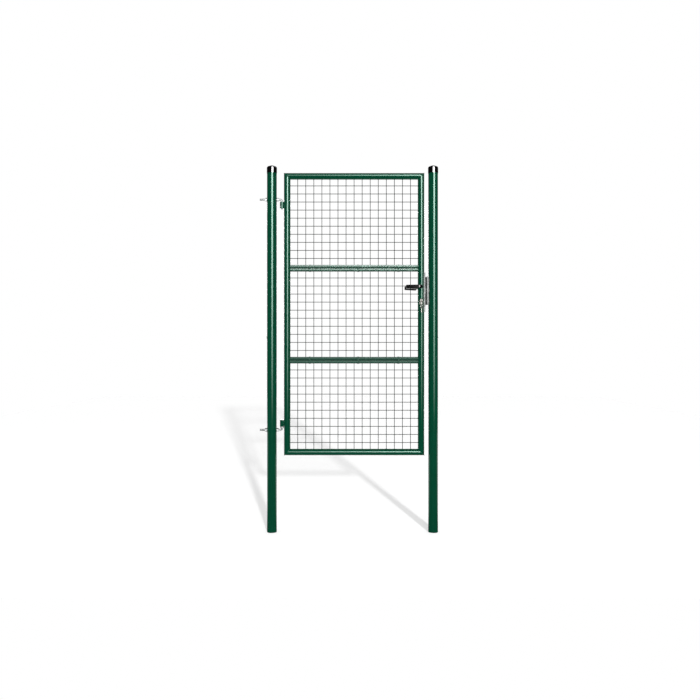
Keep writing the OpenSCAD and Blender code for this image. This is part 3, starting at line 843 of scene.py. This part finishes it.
def softbox(name, pieces, target, azimuth, elevation, distance, size, radiance, rises=0.0, widens=0.0):
    """An area lamp that faces a target and lights the named pieces, or the whole scene if none are
    named. An azimuth of 0 degrees is straight in front of the gate and 90 is to its right. The light
    grows from nothing at the lower edge by the power rises, and at the left edge by the power widens."""
    turn = math.radians(azimuth)
    lift = math.radians(elevation)
    level = math.cos(lift)
    toward = Vector((math.sin(turn) * level, -math.cos(turn) * level, math.sin(lift)))
    lamp = bpy.data.lights.new(name, "AREA")
    lamp.shape = "RECTANGLE"
    lamp.size, lamp.size_y = size
    lamp.energy = radiance * math.pi * size[0] * size[1]
    lamp.use_nodes = True
    tree = lamp.node_tree
    place = tree.nodes.new("ShaderNodeNewGeometry").outputs["Parametric"]
    across = add_node(tree, "ShaderNodeSeparateXYZ", ("Vector", place)).outputs
    wider = math_node(tree, "POWER", across["X"], widens)
    higher = math_node(tree, "POWER", across["Y"], rises)
    share = math_node(tree, "MULTIPLY", wider, higher)
    tree.links.new(share, tree.nodes["Emission"].inputs["Strength"])
    made = bpy.data.objects.new(name, lamp)
    made.location = Vector(target) + toward * distance
    made.rotation_euler = (-toward).to_track_quat("-Z", "Y").to_euler()
    made.visible_camera = False
    made.visible_diffuse = not pieces
    bpy.context.scene.collection.objects.link(made)
    if pieces:
        light_only(made, [bpy.data.objects[piece] for piece in pieces])
    return made


hinge_side = ["hinge_post", "hinge_stile", "upper_hinge_sleeve", "lower_hinge_sleeve", "frame_welds"]
latch_side = ["latch_post", "lock_stile"]
levers = ["front_lever", "back_lever"]
caps = ["hinge_post_cap", "latch_post_cap"]
upper_clamps = ["upper_clamp_front", "upper_clamp_back"]
lower_clamps = ["lower_clamp_front", "lower_clamp_back", "clamp_discs", "clamp_bolts",
                "clamp_rail_welds", "clamp_bolt_threads"]
clamp_backs = ["upper_clamp_back", "lower_clamp_back"]
hinge_metal = ["upper_hinge_bolt", "lower_hinge_bolt", "hinge_nuts", "hinge_washers", "wire_lugs",
               "hinge_bolt_threads"]
lock_metal = ["strike", "lock_case", "latch_tongue", "spindle", "forend_screws", "strike_and_lug_welds"]
keys = ["key", "key_ring", "spare_key"]

# Places are in metres, and radiance is against a white of 1.
softbox("hinge side box", hinge_side, target=(0.05, 0, 1.95), azimuth=12.6, elevation=0,
        distance=5.0, size=(3.0, 3.5), radiance=24.0, rises=1.0)
softbox("latch side box", latch_side, target=(0.96, 0, 1.95), azimuth=21, elevation=0,
        distance=5.0, size=(3.0, 3.5), radiance=23.0, rises=1.0)
softbox("cap box", caps, target=(middle_x, 0, 2.2), azimuth=13.5, elevation=0,
        distance=5.0, size=(3.0, 8.0), radiance=40.0)
softbox("top rail box", ["top_rail"], target=(middle_x, 0, 2.2), azimuth=0, elevation=33,
        distance=5.0, size=(4.0, 3.0), radiance=28.0, widens=1.8)
softbox("bottom rail box", ["bottom_rail"], target=(middle_x, 0, 0.7), azimuth=0, elevation=10,
        distance=5.0, size=(4.0, 2.2), radiance=36.0, widens=1.5)
softbox("upper clamp box", upper_clamps, target=(middle_x, 0, 1.63), azimuth=0, elevation=60,
        distance=4.0, size=(4.0, 8.0), radiance=78.0, widens=2.6)
softbox("lower clamp box", lower_clamps, target=(middle_x, 0, 1.06), azimuth=0, elevation=60,
        distance=4.0, size=(4.0, 6.0), radiance=17.0, widens=3.5)
softbox("lever side box", levers, target=(0.96, 0, 1.5), azimuth=17, elevation=0,
        distance=5.0, size=(2.8, 4.0), radiance=14.0, widens=3.0)
softbox("lever card", levers, target=(0.96, 0, 1.5), azimuth=13.5, elevation=5,
        distance=1.05, size=(0.6, 0.8), radiance=22.0, widens=2.0)
for name, pieces, radiance, target in (
    ("hinge metal card", hinge_metal, 2.3, (middle_x, 0, 1.6)),
    ("lock metal card", lock_metal, 0.8, (middle_x, 0, 1.6)),
    ("key metal card", ["lock_cylinder", *keys], 1.3, (0.92, 0, 1.4)),
):
    softbox(name, pieces, target, azimuth=12, elevation=6, distance=4.0, size=(6.0, 4.0), radiance=radiance)
softbox("key flat card", keys, target=(0.92, 0, 1.38), azimuth=-74, elevation=0,
        distance=3.0, size=(2.2, 2.2), radiance=3.5)

# Each back box stands in line with its post and the camera, so that it shows only from behind.
for name, pieces, post, azimuth in (
    ("hinge back box", hinge_side, 0, 186.1),
    ("latch back box", latch_side, post_x, 173.5),
):
    softbox(name, pieces + clamp_backs, target=(post, 0, 1.4), azimuth=azimuth, elevation=0,
            distance=5.0, size=(1.0, 3.4), radiance=14.0, rises=0.6)
key_lamp = softbox("key lamp", None, target=(middle_x, 0, 1.1), azimuth=11, elevation=25,
                   distance=6.0, size=(1.6, 1.6), radiance=13.0)
key_lamp.visible_glossy = False

# The low lamp shines from the front and a little from the right.
low_height = 12.7
low_azimuth = 11.3
low_light = bpy.data.lights.new("low lamp", "SUN")
low_light.energy = 7.0
low_light.angle = math.radians(2.1)
low_lamp = bpy.data.objects.new("low lamp", low_light)
low_lamp.rotation_euler = (math.radians(90 - low_height), 0, math.radians(low_azimuth))
low_lamp.visible_glossy = False
bpy.context.scene.collection.objects.link(low_lamp)
light_only(low_lamp, [floor])


# ---- Camera ----
# It stands in front of the gate, level and square to it, at about the middle of the gate's
# width and height.
camera_x = 0.4845
camera_y = -4.5
camera_z = 1.128
camera = bpy.data.objects.new("camera", bpy.data.cameras.new("camera"))
camera.data.lens = 37.3
camera.data.sensor_width = 36.0
camera.location = (camera_x, camera_y, camera_z)
camera.rotation_euler = (math.radians(90), 0, 0)
bpy.context.scene.collection.objects.link(camera)
bpy.context.scene.camera = camera

bpy.context.scene.view_settings.view_transform = "Standard"
